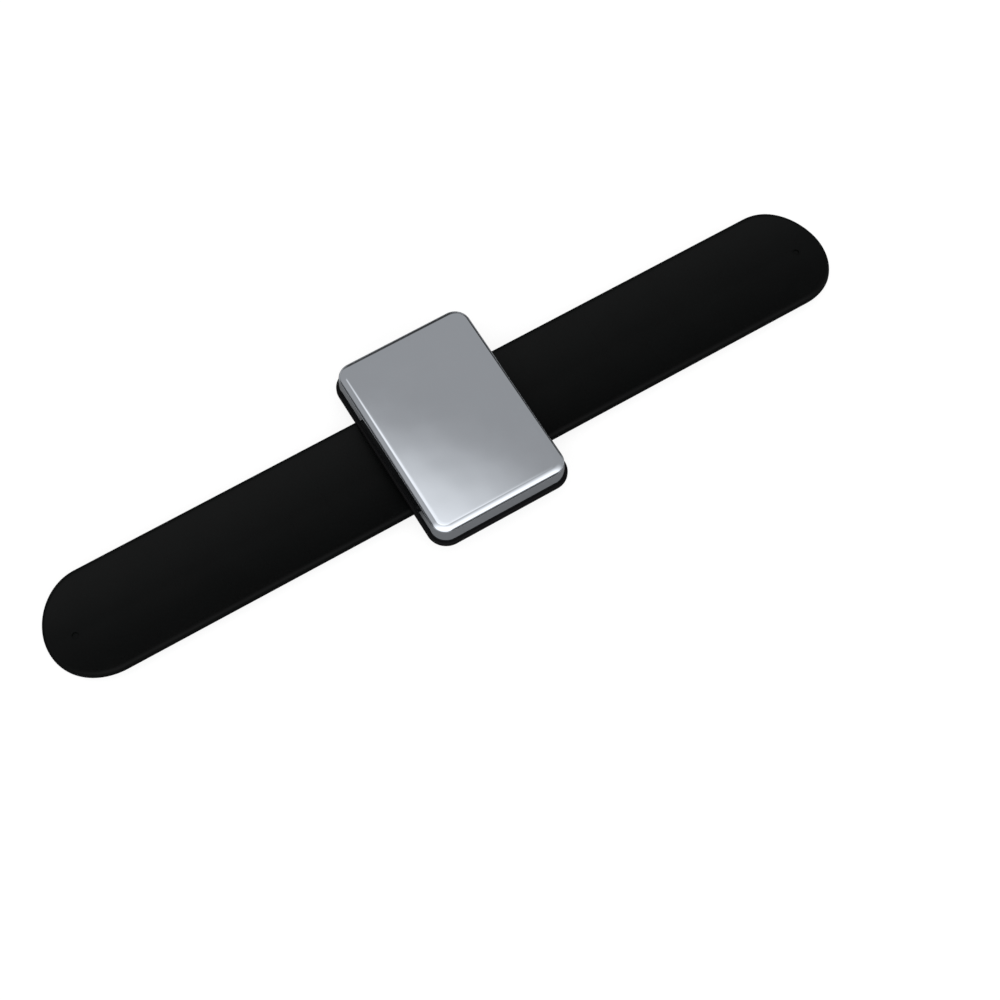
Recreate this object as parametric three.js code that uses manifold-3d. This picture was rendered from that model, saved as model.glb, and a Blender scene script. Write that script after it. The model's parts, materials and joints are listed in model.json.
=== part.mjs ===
// Magnetic slap wristband. A dished silicone strap holds a bistable spring strip, and a tray across
// its middle holds two magnets under a drawn, chrome-plated cover plate.
// Millimetres. +X runs along the strap, +Y across it and +Z up, out of the cover plate.
// The origin is the middle of the strap's underside, on the surface that the strap lies on.

import * as THREE from 'three';
import { mergeVertices } from 'three/addons/utils/BufferGeometryUtils.js';
import Module from 'manifold-3d';

const wasm = await Module();
wasm.setup();

// Strap: a silicone moulding with round ends, whose edges stand higher than its middle.
const STRAP_LENGTH = 235;
const STRAP_WIDTH = 30.5;
const STRAP_THICKNESS = 2.4;
const STRAP_DISH = 3.5;
const STRAP_EDGE_ROUND = 1.0;
// The narrow flat along the middle, on which the strap lies.
const STRAP_FLAT = 2.4;

// Mark left near each end by the pin that holds the spring strip in the mould.
const PIN_MARK_DIAMETER = 1.9;
const PIN_MARK_DEPTH = 0.4;
const PIN_MARK_FROM_END = 7.8;
const PIN_MARK_SIDES = 12;

// Spring strip, moulded in along the whole strap.
const SPRING_THICKNESS = 0.3;
const SPRING_MARGIN = 3.0;
const SPRING_CLEARANCE = 0.3;

// Each arm bends at stations, from the tray's rim to the round tip.
const LINKS_PER_ARM = 8;
const TIP_LENGTH = 20.5;
const STATION_GAP = 0.3;
const RIM_TO_FIRST_STATION = 0.6;

// Cover plate: a pan drawn from sheet, open below. Its walls stand farther out at the foot by the
// draft, and its edge rolls over in a quarter of an ellipse.
const COVER_LENGTH_X = 39.0;
const COVER_LENGTH_Y = 55.7;
const COVER_CORNER = 4.4;
const COVER_DRAFT = 0.3;
const COVER_EDGE_REACH = 2.2;
const COVER_EDGE_DROP = 1.2;
const COVER_SHEET = 0.6;

// Tray: a rim that shows round the cover, an upstand inside it and a saddle in the strap's dish.
const RIM_LEDGE = 0.7;
const RIM_THICKNESS = 1.3;
const RIM_ROUND = 0.25;
const RIM_OVER_STRAP = 0.25;
const RIM_TO_COVER = 0.25;
const TRAY_FLOOR = 1.5;
const UPSTAND_WALL = 1.6;
const UPSTAND_BELOW_MAGNETS = 0.5;
const DIVIDER_WALL = 1.2;
const DIVIDER_HEIGHT = 2.0;
const SADDLE_SETBACK = 3.0;
const SADDLE_EDGE_SETBACK = 2.5;
const FIT_CLEARANCE = 0.3;

// Magnets, the tape under them and the foam tape under the cover.
const MAGNET_THICKNESS = 4.0;
const MAGNET_TAPE = 0.3;
const COVER_TAPE = 0.6;
const BOND_GAP = 0.05;

// Facets, the least radius of a corner and the most of a thickness that one edge round takes.
const QUARTER_STEPS = 8;
const ROUND_STEPS = 3;
const DISH_STEPS = 5;
const LEAST_CORNER = 0.2;
const MOST_ROUND = 0.49;
const WELD = 1e-5;

const MATERIALS = {
  silicone: new THREE.MeshStandardMaterial({ color: '#131414', roughness: 0.62, metalness: 0 }),
  tray: new THREE.MeshStandardMaterial({ color: '#101011', roughness: 0.5, metalness: 0 }),
  chrome: new THREE.MeshStandardMaterial({ color: '#cfd2d6', roughness: 0.08, metalness: 1 }),
  springSteel: new THREE.MeshStandardMaterial({ color: '#8d9196', roughness: 0.35, metalness: 1 }),
  ferrite: new THREE.MeshStandardMaterial({ color: '#2f2d2c', roughness: 0.7, metalness: 0 }),
  tape: new THREE.MeshStandardMaterial({ color: '#e4e1d8', roughness: 0.9, metalness: 0 }),
};

// A closed rectangle with round corners, anticlockwise from above. Equal steps give equal counts.
function roundedOutline(lengthX, lengthY, corner) {
  const x = lengthX / 2 - corner;
  const y = lengthY / 2 - corner;
  const outline = [];
  const centres = [[x, y], [-x, y], [-x, -y], [x, -y]];
  centres.forEach(([cx, cy], quarter) => {
    for (let step = 0; step <= QUARTER_STEPS; step += 1) {
      const angle = (quarter + step / QUARTER_STEPS) * Math.PI / 2;
      outline.push(new THREE.Vector2(cx + corner * Math.cos(angle), cy + corner * Math.sin(angle)));
    }
  });
  return outline.filter((point, i) => point.distanceTo(outline.at(i - 1)) > WELD);
}

// Skins a row of rings, each anticlockwise from above, and closes the first and the last.
function loft(rings) {
  const count = rings[0].length;
  const positions = rings.flat().flatMap((point) => point.toArray());
  const index = [];
  for (let ring = 0; ring < rings.length - 1; ring += 1) {
    for (let i = 0; i < count; i += 1) {
      const a = ring * count + i;
      const b = ring * count + (i + 1) % count;
      index.push(a, b, b + count, a, b + count, a + count);
    }
  }
  const last = (rings.length - 1) * count;
  for (let i = 1; i < count - 1; i += 1) {
    index.push(0, i + 1, i);
    index.push(last, last + i, last + i + 1);
  }
  const geometry = new THREE.BufferGeometry();
  geometry.setAttribute('position', new THREE.Float32BufferAttribute(positions, 3));
  geometry.setIndex(index);
  geometry.computeVertexNormals();
  return geometry;
}

// A stack of rounded rectangles. Each level is drawn in by its inset and lies at its height.
function loftLevels(lengthX, lengthY, corner, levels) {
  return loft(levels.map(({ inset, z }) => (
    roundedOutline(lengthX - 2 * inset, lengthY - 2 * inset, corner - inset)
      .map((point) => new THREE.Vector3(point.x, point.y, z))
  )));
}

// A rolled edge as levels, from a face at a height out to the wall at an inset.
function edgeRound(reach, drop, inset, z) {
  const levels = [];
  for (let step = 0; step <= ROUND_STEPS; step += 1) {
    const angle = (step / ROUND_STEPS) * Math.PI / 2;
    levels.push({ inset: inset + reach * (1 - Math.sin(angle)), z: z + drop * (1 - Math.cos(angle)) });
  }
  return levels;
}

function toSolid(geometry) {
  const bare = geometry.clone();
  bare.deleteAttribute('normal');
  bare.deleteAttribute('uv');
  const merged = mergeVertices(bare, WELD);
  return new wasm.Manifold(new wasm.Mesh({
    numProp: 3,
    vertProperties: new Float32Array(merged.attributes.position.array),
    triVerts: new Uint32Array(merged.index.array),
  }));
}

function toGeometry(solid) {
  const mesh = solid.getMesh();
  const geometry = new THREE.BufferGeometry();
  geometry.setAttribute('position', new THREE.BufferAttribute(mesh.vertProperties, 3));
  geometry.setIndex(new THREE.BufferAttribute(mesh.triVerts, 1));
  geometry.computeVertexNormals();
  return geometry;
}

function box(low, high) {
  const size = new THREE.Vector3().subVectors(high, low);
  const centre = new THREE.Vector3().addVectors(low, high).multiplyScalar(0.5);
  return new THREE.BoxGeometry(size.x, size.y, size.z).translate(centre.x, centre.y, centre.z);
}

function named(name, geometry, material) {
  const mesh = new THREE.Mesh(geometry, material);
  mesh.name = name;
  return mesh;
}

// The dish: a flat along the middle, then an arc that lifts each edge by STRAP_DISH.
const DISH_REACH = (STRAP_WIDTH - STRAP_FLAT) / 2;
const DISH_RADIUS = (DISH_REACH ** 2 + STRAP_DISH ** 2) / (2 * STRAP_DISH);

// Puts a point of the flat plan on the dish, at an offset along the dish's own normal.
function onDish(point, offset) {
  const rise = Math.max(Math.abs(point.y) - STRAP_FLAT / 2, 0);
  const slope = Math.asin(rise / DISH_RADIUS);
  const y = point.y - Math.sign(point.y) * offset * Math.sin(slope);
  const z = STRAP_THICKNESS / 2 + DISH_RADIUS * (1 - Math.cos(slope)) + offset * Math.cos(slope);
  return new THREE.Vector3(point.x, y, z);
}

// A plate with round ends, bent to the dish, between two offsets from the strap's middle surface.
function dishedPlate(length, width, low, high, round = 0) {
  const radius = Math.min(round, MOST_ROUND * (high - low));
  const reach = (width - STRAP_FLAT) / 2;
  const across = [];
  for (let step = 0; step < DISH_STEPS; step += 1) {
    across.push(reach + (radius - reach) * step / DISH_STEPS);
  }
  const edge = radius > 0
    ? [...edgeRound(radius, radius, 0, low), ...edgeRound(radius, -radius, 0, high).toReversed()]
    : [{ inset: 0, z: low }, { inset: 0, z: high }];
  const levels = [
    ...across.map((inset) => ({ inset, z: low })),
    ...edge,
    ...across.toReversed().map((inset) => ({ inset, z: high })),
  ];
  return loft(levels.map(({ inset, z }) => (
    roundedOutline(length - 2 * inset, width - 2 * inset, width / 2 - inset)
      .map((point) => onDish(point, z))
  )));
}

// Tray sizes in plan and the stations that follow from them.
const RIM_OVERHANG = COVER_DRAFT + RIM_LEDGE;
const RIM_LENGTH_X = COVER_LENGTH_X + 2 * RIM_OVERHANG;
const RIM_LENGTH_Y = COVER_LENGTH_Y + 2 * RIM_OVERHANG;
const FIRST_STATION = RIM_LENGTH_X / 2 + RIM_TO_FIRST_STATION;
const LINK_LENGTH = (STRAP_LENGTH / 2 - FIRST_STATION - TIP_LENGTH) / (LINKS_PER_ARM - 1);
const STATIONS = Array.from({ length: LINKS_PER_ARM }, (_, i) => FIRST_STATION + i * LINK_LENGTH);

const SPRING_LENGTH = STRAP_LENGTH - 2 * SPRING_MARGIN;
const SPRING_WIDTH = STRAP_WIDTH - 2 * SPRING_MARGIN;

function makeSpring() {
  const half = SPRING_THICKNESS / 2;
  return toSolid(dishedPlate(SPRING_LENGTH, SPRING_WIDTH, -half, half));
}

function makeStrapBody() {
  const half = STRAP_THICKNESS / 2;
  return dishedPlate(STRAP_LENGTH, STRAP_WIDTH, -half, half, STRAP_EDGE_ROUND);
}

// The strap with the channel for its spring strip and a pin mark near each end.
function makeStrap(body) {
  const half = SPRING_THICKNESS / 2 + SPRING_CLEARANCE;
  const spare = 2 * SPRING_CLEARANCE;
  const channel = dishedPlate(SPRING_LENGTH + spare, SPRING_WIDTH + spare, -half, half);
  let strap = toSolid(body).subtract(toSolid(channel));
  for (const end of [-1, 1]) {
    const radius = PIN_MARK_DIAMETER / 2;
    const mark = new THREE.CylinderGeometry(radius, radius, 2 * PIN_MARK_DEPTH, PIN_MARK_SIDES);
    mark.rotateX(Math.PI / 2);
    mark.translate(end * (STRAP_LENGTH / 2 - PIN_MARK_FROM_END), 0, STRAP_THICKNESS);
    strap = strap.subtract(toSolid(mark));
  }
  return strap;
}

// The length of a solid between two places along the strap.
function slice(solid, from, to) {
  const reach = STRAP_WIDTH;
  const window = box(new THREE.Vector3(from, -reach, -reach), new THREE.Vector3(to, reach, reach));
  return toGeometry(solid.intersect(toSolid(window)));
}

// The middle length under the tray, then the links of each arm out to its tip.
function makeLengths(label, solid, material) {
  const group = new THREE.Group();
  const half = STATION_GAP / 2;
  const middle = FIRST_STATION - half;
  group.add(named(`${label}_core`, slice(solid, -middle, middle), material));
  for (const [side, sign] of [['left', -1], ['right', 1]]) {
    STATIONS.forEach((station, i) => {
      const isTip = i === LINKS_PER_ARM - 1;
      const near = sign * (station + half);
      const far = sign * (isTip ? STRAP_LENGTH : STATIONS[i + 1] - half);
      const part = slice(solid, Math.min(near, far), Math.max(near, far));
      group.add(named(`${label}_${side}_${isTip ? 'tip' : i + 1}`, part, material));
    });
  }
  return group;
}

const strapBody = makeStrapBody();
strapBody.computeBoundingBox();

// Heights, from the strap's raised edges up through the tray and magnets to the cover's face.
const RIM_BOTTOM = strapBody.boundingBox.max.z + RIM_OVER_STRAP;
const RIM_TOP = RIM_BOTTOM + RIM_THICKNESS;
const FLOOR_TOP = RIM_BOTTOM + TRAY_FLOOR;
const MAGNET_BOTTOM = FLOOR_TOP + MAGNET_TAPE + 2 * BOND_GAP;
const MAGNET_TOP = MAGNET_BOTTOM + MAGNET_THICKNESS;
const COVER_TAPE_BOTTOM = MAGNET_TOP + BOND_GAP;
const COVER_CEILING = COVER_TAPE_BOTTOM + COVER_TAPE + BOND_GAP;
const COVER_TOP = COVER_CEILING + COVER_SHEET;

// Plan of the upstand inside the cover and of the magnet bay inside the upstand.
const UPSTAND_INSET = RIM_OVERHANG + COVER_SHEET + FIT_CLEARANCE;
const BAY_INSET = UPSTAND_INSET + UPSTAND_WALL;
const RIM_CORNER = COVER_CORNER + RIM_OVERHANG;
const BAY_LENGTH_X = RIM_LENGTH_X - 2 * BAY_INSET;
const BAY_LENGTH_Y = RIM_LENGTH_Y - 2 * BAY_INSET;
const BAY_CORNER = Math.max(RIM_CORNER - BAY_INSET, LEAST_CORNER);
const MAGNET_LENGTH_X = BAY_LENGTH_X - 2 * FIT_CLEARANCE;
const MAGNET_LENGTH_Y = (BAY_LENGTH_Y - DIVIDER_WALL) / 2 - 2 * FIT_CLEARANCE;
const MAGNET_CORNER = Math.max(BAY_CORNER - FIT_CLEARANCE, LEAST_CORNER);
const MAGNET_Y = (BAY_LENGTH_Y + DIVIDER_WALL) / 4;

// The block under the tray that fills the strap's dish, cut to the strap's upper face.
function makeSaddle() {
  const x = RIM_LENGTH_X / 2 - SADDLE_SETBACK;
  const y = STRAP_WIDTH / 2 - SADDLE_EDGE_SETBACK;
  const join = TRAY_FLOOR / 2;
  const block = box(new THREE.Vector3(-x, -y, 0), new THREE.Vector3(x, y, RIM_BOTTOM + join));
  const top = STRAP_THICKNESS / 2 + FIT_CLEARANCE;
  const below = dishedPlate(STRAP_LENGTH, STRAP_WIDTH, -RIM_BOTTOM, top);
  return toSolid(block).subtract(toSolid(below));
}

function makeTray() {
  const round = Math.min(RIM_ROUND, MOST_ROUND * RIM_THICKNESS);
  const upstandTop = MAGNET_TOP - UPSTAND_BELOW_MAGNETS;
  const levels = [
    ...edgeRound(round, round, 0, RIM_BOTTOM),
    ...edgeRound(round, -round, 0, RIM_TOP).toReversed(),
    { inset: UPSTAND_INSET, z: RIM_TOP },
    { inset: UPSTAND_INSET, z: upstandTop },
    { inset: RIM_CORNER - BAY_CORNER, z: upstandTop },
    { inset: RIM_CORNER - BAY_CORNER, z: FLOOR_TOP },
  ];
  const pan = toSolid(loftLevels(RIM_LENGTH_X, RIM_LENGTH_Y, RIM_CORNER, levels));
  const reach = BAY_LENGTH_X / 2 + UPSTAND_WALL / 2;
  const sunk = TRAY_FLOOR / 2;
  const divider = box(
    new THREE.Vector3(-reach, -DIVIDER_WALL / 2, FLOOR_TOP - sunk),
    new THREE.Vector3(reach, DIVIDER_WALL / 2, FLOOR_TOP + DIVIDER_HEIGHT),
  );
  return toGeometry(pan.add(toSolid(divider)).add(makeSaddle()));
}

// The drawn pan: up the inside is the punch's shape, and over the outside the die's.
function makeCover() {
  const bottom = RIM_TOP + RIM_TO_COVER;
  const innerReach = Math.max(COVER_EDGE_REACH - COVER_SHEET, LEAST_CORNER);
  const innerDrop = Math.max(COVER_EDGE_DROP - COVER_SHEET, LEAST_CORNER);
  const levels = [
    ...edgeRound(innerReach, -innerDrop, COVER_SHEET, COVER_CEILING),
    { inset: COVER_SHEET - COVER_DRAFT, z: bottom },
    { inset: -COVER_DRAFT, z: bottom },
    ...edgeRound(COVER_EDGE_REACH, -COVER_EDGE_DROP, 0, COVER_TOP).toReversed(),
  ];
  return loftLevels(COVER_LENGTH_X, COVER_LENGTH_Y, COVER_CORNER, levels);
}

// A flat sheet or block with round corners that stands on its own bottom.
function makeSlab(lengthX, lengthY, corner, thickness) {
  return loftLevels(lengthX, lengthY, corner, [{ inset: 0, z: 0 }, { inset: 0, z: thickness }]);
}

function makeHead() {
  const head = new THREE.Group();
  head.add(named('tray', makeTray(), MATERIALS.tray));
  head.add(named('cover_plate', makeCover(), MATERIALS.chrome));
  for (const [place, sign] of [['front', -1], ['rear', 1]]) {
    const bay = new THREE.Group();
    bay.position.set(0, sign * MAGNET_Y, 0);
    const tape = makeSlab(MAGNET_LENGTH_X, MAGNET_LENGTH_Y, MAGNET_CORNER, MAGNET_TAPE);
    const magnet = makeSlab(MAGNET_LENGTH_X, MAGNET_LENGTH_Y, MAGNET_CORNER, MAGNET_THICKNESS);
    const tapeMesh = named(`magnet_tape_${place}`, tape, MATERIALS.tape);
    const magnetMesh = named(`magnet_${place}`, magnet, MATERIALS.ferrite);
    tapeMesh.position.z = FLOOR_TOP + BOND_GAP;
    magnetMesh.position.z = MAGNET_BOTTOM;
    bay.add(tapeMesh, magnetMesh);
    head.add(bay);
  }
  const foam = makeSlab(MAGNET_LENGTH_X, BAY_LENGTH_Y - 2 * FIT_CLEARANCE, MAGNET_CORNER, COVER_TAPE);
  const foamMesh = named('cover_tape', foam, MATERIALS.tape);
  foamMesh.position.z = COVER_TAPE_BOTTOM;
  head.add(foamMesh);
  return head;
}

const wristband = new THREE.Group();
wristband.add(makeLengths('strap', makeStrap(strapBody), MATERIALS.silicone));
wristband.add(makeLengths('spring', makeSpring(), MATERIALS.springSteel));
wristband.add(makeHead());

export default wristband;
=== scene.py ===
"""Looks of the magnetic wristband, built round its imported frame. Metres, in the part's frame."""

import json
import logging
import math
from dataclasses import dataclass, field
from enum import Enum
from typing import Any, Sequence

import bpy
from mathutils import Matrix, Vector


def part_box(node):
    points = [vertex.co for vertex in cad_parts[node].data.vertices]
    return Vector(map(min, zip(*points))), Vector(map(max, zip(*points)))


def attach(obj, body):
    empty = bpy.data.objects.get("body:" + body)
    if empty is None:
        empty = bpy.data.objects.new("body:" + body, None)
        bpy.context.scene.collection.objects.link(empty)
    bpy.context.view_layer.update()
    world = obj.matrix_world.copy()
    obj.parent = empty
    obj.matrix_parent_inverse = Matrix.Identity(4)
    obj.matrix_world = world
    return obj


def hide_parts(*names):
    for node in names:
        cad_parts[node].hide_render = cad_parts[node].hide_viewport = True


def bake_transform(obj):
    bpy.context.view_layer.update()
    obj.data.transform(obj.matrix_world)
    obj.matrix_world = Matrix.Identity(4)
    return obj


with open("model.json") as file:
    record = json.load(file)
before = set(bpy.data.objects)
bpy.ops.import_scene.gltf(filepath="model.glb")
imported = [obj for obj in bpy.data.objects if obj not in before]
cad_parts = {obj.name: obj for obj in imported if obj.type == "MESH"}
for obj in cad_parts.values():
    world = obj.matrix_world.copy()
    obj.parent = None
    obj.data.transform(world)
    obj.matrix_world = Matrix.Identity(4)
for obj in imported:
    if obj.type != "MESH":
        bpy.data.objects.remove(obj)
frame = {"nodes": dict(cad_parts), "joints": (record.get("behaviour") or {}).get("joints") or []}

LOG = logging.getLogger("wristband")
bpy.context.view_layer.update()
MM = 0.001
# Edges of a loft that turn by more than this stay sharp.
SHARP_DEG = 50
# A corner that is drawn in keeps at least this radius.
LEAST_CORNER = 0.02 * MM


class Arm(Enum):
    """The two arms of the strap, by the sign of the side they lie on."""

    LEFT = -1
    RIGHT = 1


class MagnetPlace(Enum):
    """The two magnet bays, along the cover plate."""

    FRONT = "front"
    REAR = "rear"


def linear(code: str) -> tuple[float, float, float, float]:
    """Turns an sRGB hex colour into linear light.

    Args:
        code: The colour as "#rrggbb".

    Returns:
        Linear red, green and blue, with an alpha of 1.
    """
    parts = [int(code[i:i + 2], 16) / 255 for i in (1, 3, 5)]
    light = [p / 12.92 if p <= 0.04045 else ((p + 0.055) / 1.055) ** 2.4 for p in parts]
    return (light[0], light[1], light[2], 1.0)


def add_node(tree: bpy.types.NodeTree, kind: str, sockets: dict[Any, Any] | None = None,
             **settings: Any) -> Any:
    """Adds one node with its settings, and fills its sockets with values or links.

    Args:
        tree: The node tree that gets the node.
        kind: The node's type name.
        sockets: Values by socket name or number. A node stands for its first output.
        **settings: The node's own properties.

    Returns:
        The new node.
    """
    node = tree.nodes.new(kind)
    for name, value in settings.items():
        setattr(node, name, value)
    for key, value in (sockets or {}).items():
        source = value.outputs[0] if isinstance(value, bpy.types.Node) else value
        if isinstance(source, bpy.types.NodeSocket):
            tree.links.new(source, node.inputs[key])
        else:
            node.inputs[key].default_value = source
    return node


def new_material(name: str) -> tuple[bpy.types.Material, bpy.types.NodeTree, bpy.types.NodeSocket]:
    """Starts a material with the place of each point.

    Args:
        name: The material's name.

    Returns:
        The material, its tree and the socket of the place.
    """
    material = bpy.data.materials.new(name)
    material.use_nodes = True
    tree = material.node_tree
    tree.nodes.clear()
    return material, tree, add_node(tree, "ShaderNodeTexCoord").outputs["Object"]


def per_metre(millimetres: float) -> float:
    """Gives the texture scale whose features are about this many millimetres across."""
    return 1 / (millimetres * MM)


@dataclass(frozen=True)
class MouldedSilicone:
    """Black silicone rubber out of a spark-eroded mould: dead matt, with a fine even grain."""

    name: str = "silicone_rubber_moulded_matt_black"
    colour: str = "#020303"
    worn_colour: str = "#060707"
    roughness: tuple[float, float] = (0.46, 0.56)
    specular: float = 0.12
    ior: float = 1.41
    # Drawn coarser than the mould's 0.1 mm, so that it shows.
    grain_mm: float = 0.35
    bloom_mm: float = 9.0

    def build(self) -> bpy.types.Material:
        """Makes the material.

        Returns:
            The material.
        """
        material, tree, place = new_material(self.name)
        # A faint uneven bloom, where handling has polished or dusted the rubber.
        bloom = add_node(tree, "ShaderNodeTexNoise", {
            "Vector": place, "Scale": per_metre(self.bloom_mm), "Detail": 3.0, "Roughness": 0.6})
        grain = add_node(tree, "ShaderNodeTexNoise", {
            "Vector": place, "Scale": per_metre(self.grain_mm), "Detail": 2.0, "Roughness": 0.5})
        colour = add_node(tree, "ShaderNodeMix", {
            0: bloom, 6: linear(self.colour), 7: linear(self.worn_colour)}, data_type="RGBA")
        rough = add_node(tree, "ShaderNodeMapRange", {
            "Value": grain, "To Min": self.roughness[0], "To Max": self.roughness[1]})
        bump = add_node(tree, "ShaderNodeBump", {
            "Height": grain, "Strength": 0.25, "Distance": 0.05 * MM})
        shader = add_node(tree, "ShaderNodeBsdfPrincipled", {
            "Base Color": colour.outputs[2], "Roughness": rough, "Normal": bump,
            "Specular IOR Level": self.specular, "IOR": self.ior})
        add_node(tree, "ShaderNodeOutputMaterial", {"Surface": shader})
        return material


@dataclass(frozen=True)
class MouldedAbs:
    """Black ABS, injection moulded with a satin face: soft lines of light along its round edges."""

    name: str = "abs_injection_moulded_satin_black"
    colour: str = "#060607"
    roughness: tuple[float, float] = (0.34, 0.46)
    specular: float = 0.08
    ior: float = 1.53
    # Drawn coarser than the mould's 0.1 mm, so that it shows.
    grain_mm: float = 0.3

    def build(self) -> bpy.types.Material:
        """Makes the material.

        Returns:
            The material.
        """
        material, tree, place = new_material(self.name)
        grain = add_node(tree, "ShaderNodeTexNoise", {
            "Vector": place, "Scale": per_metre(self.grain_mm), "Detail": 2.0, "Roughness": 0.5})
        rough = add_node(tree, "ShaderNodeMapRange", {
            "Value": grain, "To Min": self.roughness[0], "To Max": self.roughness[1]})
        bump = add_node(tree, "ShaderNodeBump", {
            "Height": grain, "Strength": 0.15, "Distance": 0.03 * MM})
        shader = add_node(tree, "ShaderNodeBsdfPrincipled", {
            "Base Color": linear(self.colour), "Roughness": rough, "Normal": bump,
            "Specular IOR Level": self.specular, "IOR": self.ior})
        add_node(tree, "ShaderNodeOutputMaterial", {"Surface": shader})
        return material


@dataclass(frozen=True)
class PlatedSteel:
    """Drawn steel, polished and plated with nickel and chrome: a cool mirror with a faint wave."""

    name: str = "steel_drawn_polished_chrome_plated"
    colour: str = "#d0d5dc"
    roughness: tuple[float, float] = (0.03, 0.07)
    wave_mm: float = 14.0
    smudge_mm: float = 11.0

    def build(self) -> bpy.types.Material:
        """Makes the material.

        Returns:
            The material.
        """
        material, tree, place = new_material(self.name)
        # Polishing leaves the sheet very slightly wavy, which bends what it mirrors.
        wave = add_node(tree, "ShaderNodeTexNoise", {
            "Vector": place, "Scale": per_metre(self.wave_mm), "Detail": 1.0})
        # Handling leaves faint hazy patches.
        smudge = add_node(tree, "ShaderNodeTexNoise", {
            "Vector": place, "Scale": per_metre(self.smudge_mm), "Detail": 5.0, "Roughness": 0.65})
        rough = add_node(tree, "ShaderNodeMapRange", {
            "Value": smudge, "From Min": 0.35, "From Max": 0.75,
            "To Min": self.roughness[0], "To Max": self.roughness[1]})
        bump = add_node(tree, "ShaderNodeBump", {
            "Height": wave, "Strength": 0.4, "Distance": 0.05 * MM})
        shader = add_node(tree, "ShaderNodeBsdfPrincipled", {
            "Base Color": linear(self.colour), "Metallic": 1.0, "Roughness": rough, "Normal": bump})
        add_node(tree, "ShaderNodeOutputMaterial", {"Surface": shader})
        return material


@dataclass(frozen=True)
class SpringSteel:
    """Cold-rolled spring steel: a grey satin strip with its rolling lines along the length."""

    name: str = "spring_steel_cold_rolled"
    colours: tuple[str, str] = ("#85898e", "#a3a7ab")
    # Drawn coarser than real rolling lines, so that they show.
    line_mm: float = 0.2
    stretch: float = 0.02

    def build(self) -> bpy.types.Material:
        """Makes the material.

        Returns:
            The material.
        """
        material, tree, place = new_material(self.name)
        along = add_node(tree, "ShaderNodeMapping", {
            "Vector": place, "Scale": (self.stretch, 1.0, 1.0)})
        lines = add_node(tree, "ShaderNodeTexNoise", {
            "Vector": along, "Scale": per_metre(self.line_mm), "Detail": 3.0})
        ramp = add_node(tree, "ShaderNodeValToRGB", {"Fac": lines})
        for stop, code in zip(ramp.color_ramp.elements, self.colours):
            stop.color = linear(code)
        bump = add_node(tree, "ShaderNodeBump", {
            "Height": lines, "Strength": 0.1, "Distance": 0.02 * MM})
        shader = add_node(tree, "ShaderNodeBsdfPrincipled", {
            "Base Color": ramp, "Metallic": 1.0, "Roughness": 0.36, "Normal": bump})
        add_node(tree, "ShaderNodeOutputMaterial", {"Surface": shader})
        return material


@dataclass(frozen=True)
class SinteredFerrite:
    """Sintered ferrite, ground on its faces: charcoal grey with a fine sandy speckle."""

    name: str = "ferrite_sintered_ground"
    colours: tuple[str, str] = ("#232222", "#3c3a38")
    # Drawn coarser than the real grit, so that it shows.
    grain_mm: float = 0.4

    def build(self) -> bpy.types.Material:
        """Makes the material.

        Returns:
            The material.
        """
        material, tree, place = new_material(self.name)
        grain = add_node(tree, "ShaderNodeTexNoise", {
            "Vector": place, "Scale": per_metre(self.grain_mm), "Detail": 4.0, "Roughness": 0.7})
        ramp = add_node(tree, "ShaderNodeValToRGB", {"Fac": grain})
        for stop, code in zip(ramp.color_ramp.elements, self.colours):
            stop.color = linear(code)
        bump = add_node(tree, "ShaderNodeBump", {
            "Height": grain, "Strength": 0.3, "Distance": 0.05 * MM})
        shader = add_node(tree, "ShaderNodeBsdfPrincipled", {
            "Base Color": ramp, "Roughness": 0.7, "Normal": bump})
        add_node(tree, "ShaderNodeOutputMaterial", {"Surface": shader})
        return material


@dataclass(frozen=True)
class FoamTape:
    """Acrylic foam tape, die-cut: off-white, with the small cells of the foam in its face."""

    name: str = "acrylic_foam_tape_die_cut"
    colours: tuple[str, str] = ("#d6d2c6", "#eeebe2")
    cell_mm: float = 0.5

    def build(self) -> bpy.types.Material:
        """Makes the material.

        Returns:
            The material.
        """
        material, tree, place = new_material(self.name)
        cells = add_node(tree, "ShaderNodeTexVoronoi", {
            "Vector": place, "Scale": per_metre(self.cell_mm)})
        ramp = add_node(tree, "ShaderNodeValToRGB", {"Fac": cells})
        for stop, code in zip(ramp.color_ramp.elements, self.colours):
            stop.color = linear(code)
        bump = add_node(tree, "ShaderNodeBump", {
            "Height": cells, "Strength": 0.3, "Distance": 0.08 * MM})
        shader = add_node(tree, "ShaderNodeBsdfPrincipled", {
            "Base Color": ramp, "Roughness": 0.85, "Normal": bump})
        add_node(tree, "ShaderNodeOutputMaterial", {"Surface": shader})
        return material


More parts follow.
